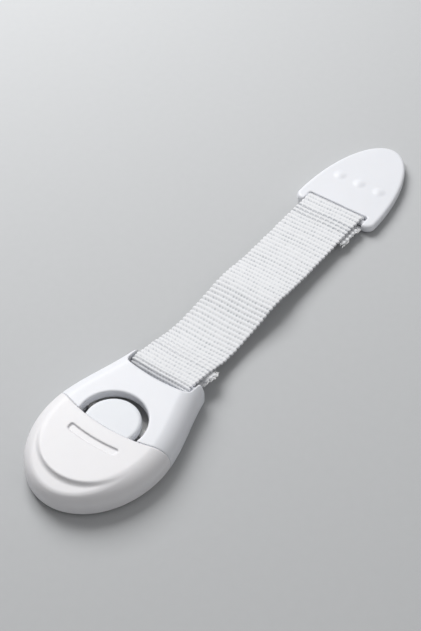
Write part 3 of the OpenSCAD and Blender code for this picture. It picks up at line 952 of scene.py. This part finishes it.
def webbing_piece(name):
    """Ribbed ribbon along the webbing's route. Its map named weave holds mm along and across it, and a layer holds
    its painted shade.
    """
    rows = np.arange(0, rib_row(webbing_length) - LEAST_LAST_STEP, 1 / STATIONS_PER_RIB)
    s = np.append(np.interp(rows, rib_row(travelled), travelled), webbing_length)
    columns = round(STRAP_W / PIT_PITCH * COLUMNS_PER_PIT)
    y = np.linspace(-1, 1, columns + 1) * STRAP_W / 2
    line, normal = route_frame(s)
    depth, painted_shade = webbing_hollows(s, y)
    edge = np.clip((STRAP_W / 2 - np.abs(y)) / EDGE_ROUND, EDGE_LEAST, 1)
    rounding = np.sqrt(1 - (1 - edge) ** 2)
    half = (STRAP_T / 2 - depth) * rounding[None, :]
    one_edge, other_edge = [edge_teeth(s, seed)[:, None] for seed in EDGE_SEEDS]
    draw_in = np.where(y[None, :] > 0, one_edge, other_edge)
    sideways = y[None, :] * (1 - 2 * draw_in / STRAP_W) + strap_middle(s)[:, None]
    points = []
    for side in (1, -1):
        place = line[:, None, :] + side * half[:, :, None] * normal[:, None, :]
        points.append(np.stack([place[..., 0], sideways, place[..., 1]], -1).reshape(-1, 3))
    piece = mesh_piece(name, np.concatenate(points), ribbon_faces(len(s) - 1, columns))
    corner = np.empty(len(piece.data.loops), int)
    piece.data.loops.foreach_get("vertex_index", corner)
    station, column = np.divmod(corner % painted_shade.size, columns + 1)
    chart = np.stack([s[station], y[column]], 1)
    piece.data.uv_layers.new(name="weave").data.foreach_set("uv", chart.ravel())
    # Painted shade, point by point, by which the webbing's material darkens its colour
    painted_shade_layer = piece.data.attributes.new("painted_shade", "FLOAT", "POINT")
    painted_shade_layer.data.foreach_set("value", np.tile(painted_shade.ravel(), 2))
    return piece


# Threads
def tube_mesh(paths, radius, sides=TUBE_SIDES):
    """Points and faces of closed tubes with round ends along paths in mm."""
    points, faces = [], []
    for path in paths:
        along = np.gradient(path, axis=0)
        along /= np.linalg.norm(along, axis=1)[:, None]
        first = np.cross(along, OFF_TUBES)
        first /= np.linalg.norm(first, axis=1)[:, None]
        second = np.cross(along, first)
        t = np.linspace(-1, 1, len(path))
        thickness = radius * np.sqrt(1 - TUBE_TAPER * t ** TUBE_TAPER_POWER)
        base = len(points)
        for k in range(len(path)):
            for i in range(sides):
                a = 2 * math.pi * i / sides
                points.append(path[k] + thickness[k] * (math.cos(a) * first[k] + math.sin(a) * second[k]))
        for k in range(len(path) - 1):
            for i in range(sides):
                b = base + k * sides
                j = (i + 1) % sides
                faces.append((b + i, b + sides + i, b + sides + j, b + j))
        faces.append(tuple(base + i for i in range(sides)))
        faces.append(tuple(base + (len(path) - 1) * sides + i for i in reversed(range(sides))))
    return points, faces


def sewing_piece(name, rows):
    """Stitches in rows on the upper face of the webbing and under its folded end below."""
    paths = []
    count = int((STRAP_W - 2 * STITCH_MARGIN) / STITCH_PITCH)
    t = np.linspace(-1, 1, STITCH_POINTS)
    upper = STRAP_T / 2 - STITCH_DEPTH
    lower = STITCH_DEPTH - 1.5 * STRAP_T
    for row in rows:
        place_along = (row - ROLL_RIBS) * RIB_PITCH
        line, normal = route_frame(np.array([place_along]))
        for lift in (upper, lower):
            for i in range(count):
                middle = (i - (count - 1) / 2) * STITCH_PITCH
                height = lift - np.sign(lift) * STITCH_SINK * t ** STITCH_POWER
                place = line[0] + height[:, None] * normal[0]
                across = STRAP_SHIFT + middle + t * STITCH_LEN / 2
                paths.append(np.stack([place[:, 0], across, place[:, 1]], 1))
    return mesh_piece(name, *tube_mesh(paths, STITCH_R))


def fringe_piece(name, s, outward, span, seed):
    """Yarn ends that stand out of one cut end, and loose loops along the edge of the fold behind it."""
    draw = np.random.default_rng(seed)
    line, normal = route_frame(np.array([s]))
    along = outward * np.array([normal[0][1], -normal[0][0]])
    middle = strap_middle(np.array([s]))[0]
    paths = []
    t = np.linspace(-YARN_ROOT, 1, YARN_POINTS)
    for i in range(YARN_ENDS):
        share = (i + 0.5 + draw.uniform(-YARN_JITTER, YARN_JITTER)) / YARN_ENDS
        y = middle + (share - 0.5) * STRAP_W
        length = draw.uniform(*YARN_LENGTHS)
        bend = draw.uniform(*YARN_BENDS)
        lift = draw.uniform(*YARN_LIFTS) + YARN_CURL * bend * t ** 2
        place = line[0] + (t * length)[:, None] * along + lift[:, None] * normal[0]
        paths.append(np.stack([place[:, 0], y + bend * t ** 2, place[:, 1]], 1))
    turn = np.linspace(0, math.pi, LOOP_POINTS)
    for _ in range(EDGE_LOOPS):
        at = np.array([s - outward * draw.uniform(0, span)])
        line, normal = route_frame(at)
        size = draw.uniform(*LOOP_SIZES)
        lift = draw.uniform(-LOOP_LIFT, LOOP_LIFT) + draw.uniform(-LOOP_ARCH, LOOP_ARCH) * np.sin(turn)
        ahead = size * np.cos(turn)[:, None] * np.array([normal[0][1], -normal[0][0]])
        place = line[0] + ahead + lift[:, None] * normal[0]
        edge = strap_middle(at)[0] - STRAP_W / 2 + EDGE_TOOTH / 2
        paths.append(np.stack([place[:, 0], edge - LOOP_REACH * size * np.sin(turn), place[:, 1]], 1))
    return mesh_piece(name, *tube_mesh(paths, YARN_END_R, YARN_SIDES))


webbing = webbing_piece("webbing_strap")
webbing.data.materials.append(webbing_material)
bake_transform(webbing)
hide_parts("strap_head_half", "strap_tail_half")
head_rows, tail_rows = stitch_rows()
head_sewing = sewing_piece("head_sewing", head_rows)
finish_piece(head_sewing, thread_material, "strap_near", "thread", "head_stitching")
tail_sewing = sewing_piece("tail_sewing", tail_rows)
finish_piece(tail_sewing, thread_material, "strap_far", "thread", "tail_stitching")
head_fringe = fringe_piece("head_cut_yarns", 0, -1, HEAD_LOOP_SPAN, HEAD_FRINGE_SEED)
finish_piece(head_fringe, thread_material, "strap_near", "webbing")
tail_fringe = fringe_piece("tail_cut_yarns", webbing_length, 1, TAIL_LOOP_SPAN, TAIL_FRINGE_SEED)
finish_piece(tail_fringe, thread_material, "strap_far", "webbing")


# Stage
def seen_rays(tree):
    """1 for rays that show the background: from the camera, mirrored or looked through."""
    ray = tree.nodes.new("ShaderNodeLightPath").outputs
    seen = ray["Is Camera Ray"]
    for kind in ("Is Glossy Ray", "Is Transmission Ray"):
        either = tree.nodes.new("ShaderNodeMath")
        either.operation = "MAXIMUM"
        tree.links.new(seen, either.inputs[0])
        tree.links.new(ray[kind], either.inputs[1])
        seen = either.outputs[0]
    return seen


def floor_material():
    """Pale grey floor that fades into the background far from the lock."""
    material, tree, shader = new_material("floor", FLOOR_COLOUR, roughness=0.85)
    place = object_place(tree)
    grain = add_noise(tree, place, scale=300, detail=3)
    darker = [c - FLOOR_GRAIN for c in FLOOR_COLOUR]
    lighter = [c + FLOOR_GRAIN for c in FLOOR_COLOUR]
    tree.links.new(add_tint(tree, grain, darker, lighter), shader.inputs["Base Color"])
    away = tree.nodes.new("ShaderNodeVectorMath")
    away.operation = "LENGTH"
    tree.links.new(place, away.inputs[0])
    fade = tree.nodes.new("ShaderNodeMapRange")
    fade.interpolation_type = "SMOOTHSTEP"
    fade.inputs["From Min"].default_value = FADE_START * MM
    fade.inputs["From Max"].default_value = FADE_END * MM
    tree.links.new(away.outputs["Value"], fade.inputs["Value"])
    share = tree.nodes.new("ShaderNodeMath")
    share.operation = "MULTIPLY"
    tree.links.new(fade.outputs["Result"], share.inputs[0])
    tree.links.new(seen_rays(tree), share.inputs[1])
    glow = tree.nodes.new("ShaderNodeEmission")
    glow.inputs["Strength"].default_value = WORLD_SEEN
    mix = tree.nodes.new("ShaderNodeMixShader")
    tree.links.new(share.outputs[0], mix.inputs[0])
    tree.links.new(shader.outputs[0], mix.inputs[1])
    tree.links.new(glow.outputs[0], mix.inputs[2])
    tree.links.new(mix.outputs[0], tree.nodes["Material Output"].inputs["Surface"])
    return material


corners = [(-FLOOR_HALF, -FLOOR_HALF, 0), (FLOOR_HALF, -FLOOR_HALF, 0),
           (FLOOR_HALF, FLOOR_HALF, 0), (-FLOOR_HALF, FLOOR_HALF, 0)]
floor = mesh_piece("floor", corners, [(0, 1, 2, 3)])
floor.data.materials.append(floor_material())


def studio_world():
    """Even soft light, with a paler background for what is seen, mirrored or looked through."""
    world = bpy.data.worlds.new("studio")
    world.use_nodes = True
    tree = world.node_tree
    background = tree.nodes["Background"]
    background.inputs["Color"].default_value = (1, 1, 1, 1)
    strength = tree.nodes.new("ShaderNodeMapRange")
    strength.inputs["To Min"].default_value = WORLD_LIGHT
    strength.inputs["To Max"].default_value = WORLD_SEEN
    tree.links.new(seen_rays(tree), strength.inputs["Value"])
    tree.links.new(strength.outputs["Result"], background.inputs["Strength"])
    bpy.context.scene.world = world


studio_world()

# Camera
back = Vector((math.sin(AZIMUTH) * math.cos(ELEVATION), -math.cos(AZIMUTH) * math.cos(ELEVATION),
               math.sin(ELEVATION)))
camera_data = bpy.data.cameras.new("camera")
camera_data.lens = LENS
camera_data.sensor_width = SENSOR_W
camera = bpy.data.objects.new("camera", camera_data)
bpy.context.scene.collection.objects.link(camera)
camera.location = (AIM + back * DISTANCE) * MM
camera.rotation_mode = "QUATERNION"
camera.rotation_quaternion = (-back).to_track_quat("-Z", "Y")
bpy.context.scene.camera = camera


# Lights
def area_light(name, right, beyond, up, size, power):
    """Square lamp that faces the lock, placed as the camera sees it: to the right, beyond the lock and up."""
    light = bpy.data.lights.new(name, "AREA")
    light.size = size * MM
    light.energy = power
    lamp = bpy.data.objects.new(name, light)
    bpy.context.scene.collection.objects.link(lamp)
    sideways = Vector((math.cos(AZIMUTH), math.sin(AZIMUTH), 0))
    onward = Vector((-math.sin(AZIMUTH), math.cos(AZIMUTH), 0))
    place = sideways * right + onward * beyond + Vector((0, 0, up))
    lamp.location = (AIM + place) * MM
    lamp.rotation_mode = "QUATERNION"
    lamp.rotation_quaternion = (-place).to_track_quat("-Z", "Y")


area_light("key", right=-230, beyond=440, up=540, size=480, power=5.5)
area_light("fill", right=420, beyond=-300, up=520, size=500, power=0.5)

bpy.context.scene.view_settings.view_transform = "Standard"
